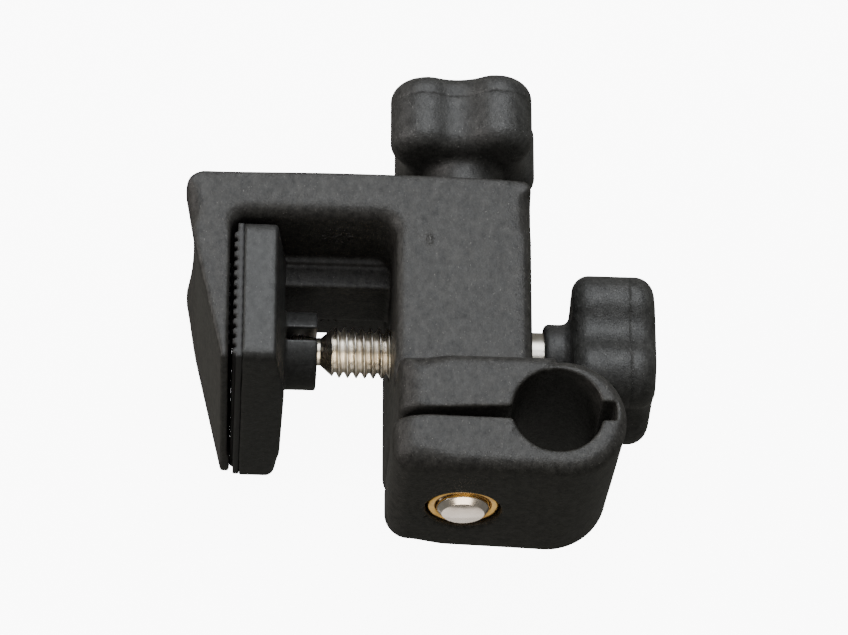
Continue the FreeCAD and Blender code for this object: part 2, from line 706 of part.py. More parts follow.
def draw_lobed_outline(sketch):
    """Four lobes with fixed centres, joined by four hollow valleys tangent to them."""
    offset = dim["lobe_offset"]
    lobe = dim["lobe_radius"]
    lead = dim["valley_reach"] - lobe
    valley_offset = (offset * offset * 2 - lead * lead) / ((offset - lead) * 2)
    valley = valley_offset - dim["valley_reach"]
    lean = math.degrees(math.atan2(offset.value, valley_offset.value - offset.value))
    lobes = []
    valleys = []
    for quarter in range(4):
        turn = 90 * quarter
        side_x = 1 if quarter in (0, 3) else -1
        side_y = 1 if quarter in (0, 1) else -1
        pole_x = (0, -1, 0, 1)[quarter]
        pole_y = (1, 0, -1, 0)[quarter]
        lobes.append(draw_arc(sketch, offset * side_x, offset * side_y, lobe,
                              turn - lean, turn + 90 + lean))
        pin_point(sketch, lobes[-1], 3, offset * side_x, offset * side_y)
        valleys.append(draw_arc(sketch, valley_offset * pole_x, valley_offset * pole_y, valley,
                                turn + 270 - lean, turn + 270 + lean))
    for quarter in range(4):
        following = lobes[(quarter + 1) % 4]
        sketch.addConstraint(Sketcher.Constraint("Tangent", lobes[quarter], 2,
                                                 valleys[quarter], 2))
        sketch.addConstraint(Sketcher.Constraint("Tangent", valleys[quarter], 1,
                                                 following, 1))


def make_knob(name, screw):
    """The knob's shell: hub, lobed body and the hexagonal pocket of the screw's head or nut."""
    body = new_body(name)
    place_on_screw(body, screw)
    outline = new_sketch(body, f"{name}_outline", "XY_Plane", dim["hub_height"])
    draw_lobed_outline(outline)
    pad(body, outline, dim["knob_seam"] - dim["hub_height"])
    soften(body, f"{name}_inner_round", dim["knob_inner_radius"],
           lambda edge: runs_at(edge, z=dim["hub_height"]))
    hub = new_sketch(body, f"{name}_hub", "XY_Plane")
    draw_circle(hub, 0, 0, dim["hub_radius"])
    pad(body, hub, dim["hub_height"] + 1)
    soften(body, f"{name}_hub_round", dim["soft_radius"], lambda edge: runs_at(edge, z=0))
    hole = new_sketch(body, f"{name}_hole", "XY_Plane", -1)
    draw_circle(hole, 0, 0, dim["thread_radius"] + dim["running_gap"])
    pocket(body, hole, dim["knob_seam"] + 2)
    hex_pocket = new_sketch(body, f"{name}_pocket", "XY_Plane", dim["pocket_floor"])
    draw_hexagon(hex_pocket, dim["pocket_across"])
    pocket(body, hex_pocket, dim["knob_seam"] - dim["pocket_floor"] + 1)


def make_knob_cap(name, screw):
    """The knob's welded end cap, hollow over the head or nut."""
    body = new_body(name)
    place_on_screw(body, screw)
    outline = new_sketch(body, f"{name}_outline", "XY_Plane", dim["knob_seam"])
    draw_lobed_outline(outline)
    pad(body, outline, dim["knob_height"] - dim["knob_seam"])
    soften(body, f"{name}_round", dim["knob_end_radius"],
           lambda edge: runs_at(edge, z=dim["knob_height"]))
    recess = new_sketch(body, f"{name}_recess", "XY_Plane", dim["knob_seam"] - 1)
    draw_circle(recess, 0, 0, dim["cap_recess_radius"])
    pocket(body, recess, dim["cap_recess"] + 1)


def make_ring(name, screw, low, thick, outer, hexagonal=False):
    """A washer or plain hexagonal nut on a screw's axis; a hexagon's outer is its width."""
    body = new_body(name)
    place_on_screw(body, screw)
    sketch = new_sketch(body, f"{name}_section", "XY_Plane", low)
    if hexagonal:
        draw_hexagon(sketch, outer)
    else:
        draw_circle(sketch, 0, 0, outer)
    draw_circle(sketch, 0, 0, dim["thread_radius"] + dim["running_gap"])
    pad(body, sketch, thick)


def make_bolt():
    """Hexagon-head screw that hangs from the top knob and draws the boss together."""
    body = new_body("clamp_bolt")
    place_on_screw(body, "bolt")
    under_head = dim["pocket_floor"] + dim["washer_thick"]
    tip = under_head - dim["bolt_length"]
    bevel = dim["thread_radius"] - dim["bolt_tip_radius"]
    section = new_sketch(body, "bolt_section", "XZ_Plane")
    draw_polygon(section, [
        (0, tip),
        (dim["bolt_tip_radius"], tip),
        (dim["thread_radius"], tip + bevel),
        (dim["thread_radius"], under_head + 1),
        (0, under_head + 1),
    ])
    revolve(body, section, "V_Axis")
    head = new_sketch(body, "bolt_head", "XY_Plane", under_head)
    draw_hexagon(head, dim["head_across"])
    pad(body, head, dim["head_height"])


def make_nut():
    """Floating brass nut in the flap: a round collar below a hexagon."""
    body = new_body("clamp_nut")
    place(body, AXIS_TO_Y, x=dim["bolt_x"], z=dim["bolt_z"])
    overlap = dim["nut_collar"] / 2
    hexagon = new_sketch(body, "nut_hexagon", "XY_Plane", dim["nut_face_y"] + overlap)
    draw_hexagon(hexagon, dim["nut_across"])
    pad(body, hexagon, dim["nut_height"] - overlap)
    collar = new_sketch(body, "nut_collar", "XY_Plane", dim["nut_face_y"])
    draw_circle(collar, 0, 0, dim["nut_radius"])
    pad(body, collar, dim["nut_collar"])
    bore = new_sketch(body, "nut_bore", "XY_Plane", dim["nut_face_y"] - 1)
    draw_circle(bore, 0, 0, dim["thread_radius"] + dim["running_gap"])
    pocket(body, bore, dim["nut_height"] + 2)


def make_clamp_washers():
    """The washer between knob hub and column, and the one between nut and flap."""
    thrust = new_body("hub_thrust_washer")
    place(thrust, AXIS_TO_Y, x=dim["bolt_x"], z=dim["bolt_z"])
    nut_side = new_body("nut_washer")
    place(nut_side, AXIS_TO_Y, x=dim["bolt_x"], z=dim["bolt_z"])
    bore = dim["thread_radius"] + dim["running_gap"]
    for body, level, outer, thick in (
            (thrust, dim["arm_top"] - dim["washer_sink"], dim["washer_radius"],
             dim["washer_thick"]),
            (nut_side, dim["nut_face_y"] + dim["nut_height"], dim["nut_washer_radius"],
             dim["nut_washer_thick"])):
        ring = new_sketch(body, f"{body.Name}_section", "XY_Plane", level)
        draw_circle(ring, 0, 0, outer)
        draw_circle(ring, 0, 0, bore)
        pad(body, ring, thick)


def make_screws_and_knobs():
    make_spindle()
    make_bolt()
    for screw, knob in (("spindle", "spindle_knob"), ("bolt", "bolt_knob")):
        make_knob(knob, screw)
        make_knob_cap(f"{knob}_cap", screw)
        make_ring(f"{knob}_washer", screw, dim["pocket_floor"], dim["washer_thick"],
                  dim["washer_radius"])
    make_ring("spindle_knob_nut", "spindle", dim["pocket_floor"] + dim["washer_thick"],
              dim["jam_nut_height"], dim["head_across"], hexagonal=True)
    make_nut()
    make_clamp_washers()


make_frame()
make_flap()
make_jaw_liner()
make_pad()
make_pad_liner()
make_disc()
make_bush()
make_screws_and_knobs()
doc.recompute()

for item in doc.Objects:
    if {"Invalid", "Error"} & set(item.State):
        raise ValueError(f"{item.Name} failed: {item.State}")
for part in PARTS:
    if part.Shape.isNull() or not part.Shape.isValid() or len(part.Shape.Solids) != 1:
        raise ValueError(f"{part.Label} is not one sound solid")

os.makedirs("parts", exist_ok=True)
for part in PARTS:
    part.Shape.exportStep(os.path.join("parts", f"{part.Label}.step"))
    print(f"{part.Label}: {part.Shape.Volume:.0f} mm3")
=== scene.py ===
import math

import bmesh
import bpy
import numpy as np
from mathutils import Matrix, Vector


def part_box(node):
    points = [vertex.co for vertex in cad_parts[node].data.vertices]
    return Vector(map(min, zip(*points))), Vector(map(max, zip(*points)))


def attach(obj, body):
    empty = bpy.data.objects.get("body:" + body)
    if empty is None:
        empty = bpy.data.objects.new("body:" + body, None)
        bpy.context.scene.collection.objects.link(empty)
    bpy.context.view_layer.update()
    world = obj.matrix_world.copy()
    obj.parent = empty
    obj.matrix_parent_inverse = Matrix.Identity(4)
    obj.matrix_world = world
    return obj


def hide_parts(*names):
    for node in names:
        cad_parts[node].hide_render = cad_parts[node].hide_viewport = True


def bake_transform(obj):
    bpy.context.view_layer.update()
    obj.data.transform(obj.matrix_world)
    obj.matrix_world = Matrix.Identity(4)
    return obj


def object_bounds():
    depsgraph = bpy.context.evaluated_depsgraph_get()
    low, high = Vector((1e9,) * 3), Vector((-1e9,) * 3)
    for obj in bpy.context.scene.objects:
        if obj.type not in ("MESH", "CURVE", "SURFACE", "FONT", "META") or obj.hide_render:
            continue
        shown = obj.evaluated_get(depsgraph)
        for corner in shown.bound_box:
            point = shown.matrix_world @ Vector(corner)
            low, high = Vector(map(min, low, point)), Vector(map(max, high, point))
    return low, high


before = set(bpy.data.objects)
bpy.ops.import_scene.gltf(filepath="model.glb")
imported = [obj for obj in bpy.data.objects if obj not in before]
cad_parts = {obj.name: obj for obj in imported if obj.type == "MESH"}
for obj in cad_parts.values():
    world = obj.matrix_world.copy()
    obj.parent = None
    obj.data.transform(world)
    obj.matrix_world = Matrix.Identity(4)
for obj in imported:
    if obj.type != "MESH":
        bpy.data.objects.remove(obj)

import openvdb
from mathutils import Matrix, Vector

CAD_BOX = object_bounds()

# Lengths are millimetres until a mesh is made: every mesh goes through to_object, in metres.
# +X runs from the fixed jaw to the spindle knob, +Y from the boss to the top knob, and +Z out of
# the frame's front. The spigot bore runs along Z through the origin.
MM = 0.001


def node_box(name):
    """A CAD node's lowest and highest corner, in millimetres."""
    low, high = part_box(name)
    return low / MM, high / MM


BODY_LOW, BODY_HIGH = node_box("clamp_body")
PAD_LOW, PAD_HIGH = node_box("pressure_pad")
PAD_LINER_LOW, PAD_LINER_HIGH = node_box("pressure_pad_liner")
JAW_LINER_LOW, JAW_LINER_HIGH = node_box("fixed_jaw_liner")
SPINDLE_LOW, SPINDLE_HIGH = node_box("spindle_screw")
BOLT_LOW, BOLT_HIGH = node_box("clamp_bolt")
NUT_LOW, NUT_HIGH = node_box("clamp_nut")
FLAP_LOW = node_box("clamp_flap")[0]
BUSH_LOW, BUSH_HIGH = node_box("spindle_bush")
TOP_KNOB_LOW = node_box("bolt_knob")[0]
SIDE_KNOB_LOW = node_box("spindle_knob")[0]

# Frame: column, arm, fixed jaw and rail
FRAME_BACK = BODY_LOW.z
FRAME_FRONT = 7.25
ARM_TOP = BODY_HIGH.y
ARM_UNDER = 44.0
ARM_MIDDLE = -31.0
ARM_REACH = 29.0
ARM_CREST = 0.4
COLUMN_LEFT = -28.4
COLUMN_RIGHT = -3.4
COLUMN_FOOT = 9.6
JAW_FACE = -58.3
JAW_CROWN = (BODY_LOW.x, 48.0)
JAW_KNEE = (-65.3, 36.7)
JAW_TIP = (-60.2, 13.8)
JAW_TOE = 1.2
JAW_HOLLOW = 1.4
JAW_HOLLOW_Z = -14.5
JAW_HOLLOW_REACH = 19.5
JAW_STEP = 0.42
CROWN_RADIUS = 3.6
THROAT_RADIUS = 3.5
SIDE_EDGE = 1.9
THROAT_EDGE = 3.0
TOP_EDGE = 0.6
JAW_EDGE = 0.9
RAIL_UNDER = 38.0
RAIL_HALF = 6.5
RAIL_ROOT_UNDER = 42.8
RAIL_ROOT_HALF = 7.1

# Boss: its slit, bore and hinge web
BOSS_HALF = 17.25
BOSS_TOP = 11.3
BOSS_END = (0.7, -0.9)
BOSS_END_LEAN = 0.55
BOSS_RADIUS = 11.4
BOSS_EDGE = 2.7
BOSS_LEFT_EDGE = 4.5
SLIT_UPPER = ((-26.9, -0.4), (-8.6, 0.5))
SLIT_LOWER = ((-26.9, -1.4), (-8.6, -1.8))
SLIT_MIDDLE = -0.8
BORE_RADIUS = 8.15
FLAP_LEFT = FLAP_LOW.x
FLAP_CORNER_Y = -11.3
HINGE_NOTCH_X = 10.5
HINGE_NOTCH_UPPER = 1.9
HINGE_NOTCH_LOWER = -1.6

# Screws, and the holes that they and the nut stand in
THREAD_RADIUS = 4.7625
THREAD_PITCH = 1.5875
BOLT_X = (BOLT_LOW.x + BOLT_HIGH.x) / 2
BOLT_Z = (BOLT_LOW.z + BOLT_HIGH.z) / 2
SPINDLE_Y = (SPINDLE_LOW.y + SPINDLE_HIGH.y) / 2
SPINDLE_Z = (SPINDLE_LOW.z + SPINDLE_HIGH.z) / 2
BALL_X = -45.2
BALL_RADIUS = 3.7
NECK_RADIUS = 2.6
NUT_POCKET_RADIUS = 6.9
NUT_POCKET_TOP = -7.8
BOLT_HOLE_RADIUS = 5.3
WASHER_SEAT_RADIUS = 6.45
WASHER_SEAT_DEPTH = 1.0
SPINDLE_HOLE_RADIUS = 5.0
BUSH_SEAT_RADIUS = 7.05

# Sliding pad and the rubber facings
PAD_RIGHT = -48.1
PAD_HALF = (PAD_LINER_HIGH.z - PAD_LINER_LOW.z) / 2
PAD_TOE = 0.8
PAD_SAG = 1.1
PAD_RISE = 0.7
PAD_FRONT_TAPER, PAD_FRONT_RUN = 2.1, 15.0
PAD_BACK_TAPER, PAD_BACK_RUN = 0.7, 8.0
SOCKET_END = -42.0
SOCKET_RADIUS = 7.3
SOCKET_SLOT_X = -47.9
SOCKET_SLOT_HALF = 1.25
NOTCH_TOP = 37.6
NOTCH_HALF = 6.9
SHEET_THICK = 1.2
RIB_PITCH = 2.0
RIB_HALF = 0.62

# Brass nut: its collar stands wider and lower than the CAD node
COLLAR_RADIUS = 6.5
COLLAR_DROP = 0.9
COLLAR_MARGIN = 0.3
NUT_HEXAGON_HALF = 5.6
NUT_HOLE_RADIUS = 4.86

# Date dials under the arm
DIAL_X = -39.0
DIAL_REACH = 15.5
DIAL_PROUD = 0.22

# The knob that both screws share; heights run outward from its hub's free end
HUB_RADIUS = 6.4
HUB_HEIGHT = 4.9
LOBE_OFFSET = 6.8
LOBE_RADIUS = 6.4
VALLEY_REACH = 11.2
KNOB_SEAM = 15.6
KNOB_HEIGHT = 20.8
KNOB_DOME = 0.0035
KNOB_HOLE_RADIUS = 4.85
KNOB_POCKET_RADIUS = 8.2
KNOB_POCKET_FLOOR = 9.66
CAP_RECESS_RADIUS = 8.6
CAP_RECESS = 1.7
TOP_KNOB_SHIFT = 0.25
TOP_KNOB_TURN = -6.5
SIDE_KNOB_TURN = -2.0


# ------------------------------------------------------------------ distance fields
# A moulding is a signed distance field on a lattice, negative inside, then meshed by OpenVDB.

def meet(a, b, radius=0.0):
    """Where both solids are, their common edge rounded to the radius."""
    inside = np.minimum(-radius, np.maximum(a, b))
    return inside + np.hypot(np.maximum(radius + a, 0), np.maximum(radius + b, 0))


def join(a, b, radius=0.0):
    """Both solids, the corner between them filled to the radius."""
    return -meet(-a, -b, radius)


def carve(a, b, radius=0.0):
    """The first solid without the second, the rim rounded to the radius."""
    return meet(a, -b, radius)


def span(v, low, high):
    return np.maximum(low - v, v - high)


def beside(x, y, start, end):
    """Signed distance from the line start-end, positive on its right-hand side."""
    run = math.dist(start, end)
    return ((x - start[0]) * (end[1] - start[1]) - (y - start[1]) * (end[0] - start[0])) / run


def disc(u, v, centre_u, centre_v, radius):
    return np.hypot(u - centre_u, v - centre_v) - radius


def ease(v, low, high):
    """0 at low, 1 at high, smooth between."""
    t = np.clip((v - low) / (high - low), 0, 1)
    return t * t * (3 - 2 * t)


def crowned(v, middle, reach):
    """1 in the middle, falling like a parabola to 0 at the reach and beyond."""
    return np.maximum(1 - ((v - middle) / reach) ** 2, 0)


def lattice(low, high, step):
    """Coordinate arrays, each along its own axis, covering a box with a margin."""
    axes = []
    for axis in range(3):
        start = low[axis] - 3 * step
        count = int(math.ceil((high[axis] + 3 * step - start) / step)) + 1
        shape = [1, 1, 1]
        shape[axis] = count
        axes.append((start + step * np.arange(count, dtype=np.float32)).reshape(shape))
    return axes


def mesh_field(name, solid, low, high, step, adaptivity=0.02):
    """Meshes solid(x, y, z), a distance field in millimetres."""
    x, y, z = lattice(low, high, step)
    field = np.array(
        np.broadcast_to(solid(x, y, z), (x.size, y.size, z.size)), dtype=np.float32)
    grid = openvdb.FloatGrid(float(4 * step))
    grid.copyFromArray(field)
    points, triangles, quads = grid.convertToPolygons(isovalue=0.0, adaptivity=adaptivity)
    points = points * step + np.array([x.flat[0], y.flat[0], z.flat[0]])
    faces = [face[::-1] for face in quads.tolist() + triangles.tolist()]
    return to_object(name, points, faces)


def turned(degrees, axis):
    return Matrix.Rotation(math.radians(degrees), 4, axis)


def to_object(name, points, faces):
    """A smooth-shaded object from points in millimetres."""
    mesh = bpy.data.meshes.new(name)
    mesh.from_pydata((np.asarray(points, float) * MM).tolist(), [], faces)
    mesh.validate()
    mesh.shade_smooth()
    piece = bpy.data.objects.new(name, mesh)
    bpy.context.scene.collection.objects.link(piece)
    return piece


# ------------------------------------------------------------------ materials

def new_material(name):
    material = bpy.data.materials.new(name)
    material.use_nodes = True
    nodes = material.node_tree.nodes
    return material, nodes, material.node_tree.links, nodes["Principled BSDF"]


def noise(nodes, links, scale, detail=2.0, stretch=(1, 1, 1), rough=0.5):
    """A noise texture in object space; scale is features to the metre."""
    place = nodes.new("ShaderNodeTexCoord")
    mapping = nodes.new("ShaderNodeMapping")
    mapping.inputs["Scale"].default_value = stretch
    texture = nodes.new("ShaderNodeTexNoise")
    texture.inputs["Scale"].default_value = scale
    texture.inputs["Detail"].default_value = detail
    texture.inputs["Roughness"].default_value = rough
    links.new(place.outputs["Object"], mapping.inputs["Vector"])
    links.new(mapping.outputs["Vector"], texture.inputs["Vector"])
    return texture.outputs["Fac"]


def ramp(nodes, links, source, stops):
    """A colour ramp with stops of (position, colour)."""
    node = nodes.new("ShaderNodeValToRGB")
    ends = node.color_ramp.elements
    for index, (position, colour) in enumerate(stops):
        stop = ends[index] if index < 2 else ends.new(position)
        stop.position = position
        stop.color = (*colour, 1)
    links.new(source, node.inputs["Fac"])
    return node.outputs["Color"]


def spread(nodes, links, source, low, high):
    """Maps the middle of a noise's range onto low..high."""
    node = nodes.new("ShaderNodeMapRange")
    node.inputs["From Min"].default_value = 0.3
    node.inputs["From Max"].default_value = 0.7
    node.inputs["To Min"].default_value = low
    node.inputs["To Max"].default_value = high
    links.new(source, node.inputs["Value"])
    return node.outputs["Result"]


def blend_colours(nodes, links, factor, first, second):
    """Mixes two colours, each a socket or a plain colour."""
    node = nodes.new("ShaderNodeMix")
    node.data_type = "RGBA"
    for socket, value in ((node.inputs[0], factor), (node.inputs[6], first),
                          (node.inputs[7], second)):
        if hasattr(value, "node"):
            links.new(value, socket)
        else:
            socket.default_value = (*value, 1)
    return node.outputs[2]


def bump(nodes, links, height, depth, shader, under=None):
    """Roughens the shader's normals by a height, on top of another bump if one is given."""
    node = nodes.new("ShaderNodeBump")
    node.inputs["Distance"].default_value = depth
    node.inputs["Strength"].default_value = 1.0
    links.new(height, node.inputs["Height"])
    if under:
        links.new(under, node.inputs["Normal"])
    if shader:
        links.new(node.outputs["Normal"], shader.inputs["Normal"])
    return node.outputs["Normal"]


def nylon(name, dark, light, roughness, grain_depth):
    """Glass-filled nylon: mottled near-black, fine spark-eroded grain and a few pale fibres."""
    material, nodes, links, shader = new_material(name)
    mottle = noise(nodes, links, 900, 5, stretch=(1, 0.6, 1), rough=0.75)
    colour = ramp(nodes, links, mottle, [(0.32, dark), (0.68, light)])
    fibres = noise(nodes, links, 2600, 3, stretch=(1, 0.45, 1), rough=0.7)
    fleck = ramp(nodes, links, fibres, [(0.64, (0, 0, 0)), (0.74, (1, 1, 1))])
    fleck_colour = tuple(3.2 * channel for channel in light)
    colour = blend_colours(nodes, links, fleck, colour, fleck_colour)
    links.new(colour, shader.inputs["Base Color"])
    links.new(spread(nodes, links, noise(nodes, links, 700, 3), roughness - 0.04,
                     roughness + 0.04), shader.inputs["Roughness"])
    grain = noise(nodes, links, 2100, 3, rough=0.65)
    waves = noise(nodes, links, 110, 2)
    coarse = bump(nodes, links, waves, 0.00001, None)
    bump(nodes, links, grain, grain_depth, shader, under=coarse)
    return material


def make_rubber():
    material, nodes, links, shader = new_material("grip_rubber")
    mottle = noise(nodes, links, 600, 4)
    links.new(ramp(nodes, links, mottle, [(0.3, (0.030, 0.030, 0.031)),
                                          (0.7, (0.050, 0.050, 0.049))]),
              shader.inputs["Base Color"])
    links.new(spread(nodes, links, mottle, 0.5, 0.62), shader.inputs["Roughness"])
    bump(nodes, links, noise(nodes, links, 3000, 2), 0.00006, shader)
    return material


def metal(name, dark, light, low_rough, high_rough, stretch):
    """Plated or turned metal with fine tool marks across the stretch."""
    material, nodes, links, shader = new_material(name)
    shader.inputs["Metallic"].default_value = 1.0
    tint = noise(nodes, links, 260, 3)
    links.new(ramp(nodes, links, tint, [(0.35, dark), (0.65, light)]),
              shader.inputs["Base Color"])
    marks = noise(nodes, links, 900, 4, stretch=stretch)
    links.new(spread(nodes, links, marks, low_rough, high_rough), shader.inputs["Roughness"])
    bump(nodes, links, marks, 0.000012, shader)
    return material


FRAME_NYLON = nylon("frame_nylon", (0.011, 0.0103, 0.0092), (0.059, 0.0563, 0.0515), 0.50,
                    0.00011)
PAD_NYLON = nylon("pad_nylon", (0.018, 0.018, 0.017), (0.050, 0.050, 0.048), 0.46, 0.00007)
KNOB_NYLON = nylon("knob_nylon", (0.018, 0.018, 0.017), (0.066, 0.065, 0.062), 0.46, 0.00012)
RUBBER = make_rubber()
STEEL = metal("plated_steel", (0.62, 0.57, 0.49), (0.84, 0.80, 0.73), 0.22, 0.36, (1, 0.1, 0.1))
BOLT_STEEL = metal("bolt_steel", (0.64, 0.58, 0.53), (0.78, 0.73, 0.68), 0.22, 0.30, (1, 1, 1))
BRASS = metal("brass", (0.26, 0.145, 0.03), (0.50, 0.31, 0.07), 0.20, 0.36, (1, 1, 1))


def finish_piece(piece, material, body, slot, *nodes):
    """Gives a piece its material, its body and the CAD nodes that it stands for; the slot is not
    used.
    """
    piece.data.materials.clear()
    piece.data.materials.append(material)
    if body:
        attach(piece, body)
    if nodes:
        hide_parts(*nodes)


# ------------------------------------------------------------------ frame moulding

def toe_in(z, amount):
    """How far a face that closes towards the back lies beyond its middle, by depth."""
    return amount * ((FRAME_FRONT - z) / (FRAME_FRONT - FRAME_BACK) - 0.5)


def c_frame(x, y, z):
    """Column, arm and fixed jaw: one profile, 47 mm deep, its edges rounded by their place."""
    toe = toe_in(z, JAW_TOE)
    hollow = JAW_HOLLOW * crowned(z, JAW_HOLLOW_Z, JAW_HOLLOW_REACH) * ease(y, 30, ARM_UNDER)
    rim = x - toe - JAW_TOE / 2 - hollow
    jaw = np.maximum(JAW_CROWN[0] - rim, beside(rim, y, JAW_CROWN, JAW_KNEE))
    jaw = np.maximum(jaw, beside(rim, y, JAW_KNEE, JAW_TIP))
    crest = ARM_TOP + ARM_CREST * crowned(x, ARM_MIDDLE, ARM_REACH)
    outer = meet(meet(jaw, y - crest, CROWN_RADIUS), x - COLUMN_RIGHT, 1.8)
    face = JAW_FACE + toe + JAW_STEP * ease(-z, 32, 34)
    throat = meet(span(x, face, COLUMN_LEFT + 0 * z), y - ARM_UNDER, THROAT_RADIUS)
    foot = np.where(x < (JAW_FACE + COLUMN_LEFT) / 2, JAW_TIP[1], COLUMN_FOOT - 2.0) - y
    profile = carve(outer, throat, 0.3)
    profile = meet(profile, foot, 0.4 + 4.6 * ease(x, JAW_FACE + 5, COLUMN_LEFT - 2))
    on_arm = ease(y, ARM_UNDER - 4, ARM_UNDER)
    edge = SIDE_EDGE + (THROAT_EDGE - SIDE_EDGE) * on_arm
    edge = edge - (THROAT_EDGE - TOP_EDGE) * ease(y, ARM_TOP - 4, ARM_TOP - 1.5)
    edge = edge - (edge - JAW_EDGE) * ease(-x, 48, 58) * ease(-y, -ARM_UNDER - 1, 5 - ARM_UNDER)
    edge = edge + 0.6 * ease(x, COLUMN_RIGHT - 7, COLUMN_RIGHT - 1)
    back_of_throat = on_arm * ease(x, JAW_FACE + 2, JAW_FACE + 6) * ease(-z, 25, 32)
    edge = np.maximum(edge - 2.2 * back_of_throat, 0.5)
    return meet(profile, span(z, FRAME_BACK, FRAME_FRONT), edge)


def rail(x, y, z):
    """Guide rail under the arm, with its slightly wider root."""
    length = span(x, JAW_FACE - 1, COLUMN_LEFT + 1)
    aside = np.abs(z - SPINDLE_Z)
    runner = meet(span(y, RAIL_UNDER, ARM_UNDER + 2), aside - RAIL_HALF, 0.5)
    root = meet(span(y, RAIL_ROOT_UNDER, ARM_UNDER + 2), aside - RAIL_ROOT_HALF, 0.3)
    return np.maximum(join(runner, root, 0.2), length)


def boss(x, y, z):
    """Both halves of the boss, split by the tapered slit between their rounded lips."""
    above_slit = beside(x, y, *SLIT_UPPER)
    below_slit = -beside(x, y, *SLIT_LOWER)
    under = beside(x, y, (FLAP_LEFT, FLAP_CORNER_Y), (BOSS_END[0], BOSS_END[1] - BOSS_RADIUS))
    upper = meet(COLUMN_LEFT - x, y - BOSS_TOP, 1.5)
    lower = meet(FLAP_LEFT - x, under, 4.4)
    halves = np.maximum(np.where(y > SLIT_MIDDLE, upper, lower), x)
    end_x = BOSS_END[0] + BOSS_END_LEAN * z / BOSS_HALF - 0.1
    profile = np.minimum(halves, disc(x, y, end_x, BOSS_END[1], BOSS_RADIUS))
    edge = BOSS_EDGE + (BOSS_LEFT_EDGE - BOSS_EDGE) * ease(-x, 18, 25)
    solid = meet(profile, span(z, -BOSS_HALF, BOSS_HALF), edge)
    slit = np.maximum(np.maximum(-above_slit, -below_slit), x)
    return carve(solid, slit, 0.45 + 1.1 * ease(-x, 22, 27))


def column_root(x, y, z):
    """The part of the column that runs down into the boss, flush with its left side."""
    root = meet(span(x, COLUMN_LEFT, COLUMN_LEFT + 14), span(y, 4.0, 14.0), 0.2)
    return meet(root, span(z, -15.0, FRAME_FRONT), SIDE_EDGE)


def bore(x, y, z):
    """The spigot bore with the notch that thins the wall to a hinge web."""
    notch = meet(span(x, 0, HINGE_NOTCH_X), span(y, HINGE_NOTCH_LOWER, HINGE_NOTCH_UPPER), 0.4)
    return np.minimum(notch, disc(x, y, 0, 0, BORE_RADIUS)) + 0 * z


def moulding(x, y, z):
    """The whole frame moulding with its holes."""
    solid = join(c_frame(x, y, z), rail(x, y, z), 0.4)
    solid = join(solid, np.minimum(boss(x, y, z), column_root(x, y, z)), 1.5)
    solid = carve(solid, bore(x, y, z), 0.6)

    across_bolt = np.hypot(x - BOLT_X, z - BOLT_Z)
    pocket = meet(across_bolt - NUT_POCKET_RADIUS, y - NUT_POCKET_TOP, 0.3)
    solid = carve(solid, pocket, 0.5)
    solid = carve(solid, across_bolt - BOLT_HOLE_RADIUS, 0.3)
    washer_seat = meet(across_bolt - WASHER_SEAT_RADIUS, ARM_TOP - WASHER_SEAT_DEPTH - y)
    solid = carve(solid, washer_seat, 0.2)

    across_spindle = np.hypot(y - SPINDLE_Y, z - SPINDLE_Z)
    hole = np.maximum(across_spindle - SPINDLE_HOLE_RADIUS, COLUMN_LEFT - 3 - x)
    solid = carve(solid, hole, 0.4)
    bush_seat = np.maximum(across_spindle - BUSH_SEAT_RADIUS, span(x, BUSH_LOW.x, BUSH_HIGH.x))
    solid = carve(solid, bush_seat)
    seat = np.maximum(span(y, JAW_LINER_LOW.y, JAW_LINER_HIGH.y),
                      span(z, JAW_LINER_LOW.z, JAW_LINER_HIGH.z))
    seat = np.maximum(seat, span(x - toe_in(z, JAW_TOE), JAW_LINER_LOW.x, JAW_FACE + 2))
    solid = carve(solid, seat, 0.1)
    gate = np.hypot((x + 22.3) * 1.9, y - 39.3) - 0.95
    gate = np.maximum(gate + 0 * z, np.abs(z - FRAME_FRONT) - 0.25)
    return join(solid, gate, 0.3)


def make_moulding():
    piece = mesh_field("frame_moulding", moulding, (BODY_LOW.x, FLAP_LOW.y, BODY_LOW.z),
                       (BODY_HIGH.x, BODY_HIGH.y, BODY_HIGH.z), 0.4, 0.008)
    finish_piece(piece, FRAME_NYLON, None, "frame_nylon", "clamp_body", "clamp_flap")
    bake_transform(piece)
    return piece


# ------------------------------------------------------------------ pressure pad and facings

def sagging(level, z, amount):
    """A height that drops by the amount from the pad's front to its back."""
    return level - amount * np.clip((SPINDLE_Z + PAD_HALF - z) / (2 * PAD_HALF), 0, 1)


def rail_notch(y, z):
    """The notch by which the pad and its facing straddle the rail."""
    return np.maximum(NOTCH_TOP - y, span(z, SPINDLE_Z - NOTCH_HALF, SPINDLE_Z + NOTCH_HALF))


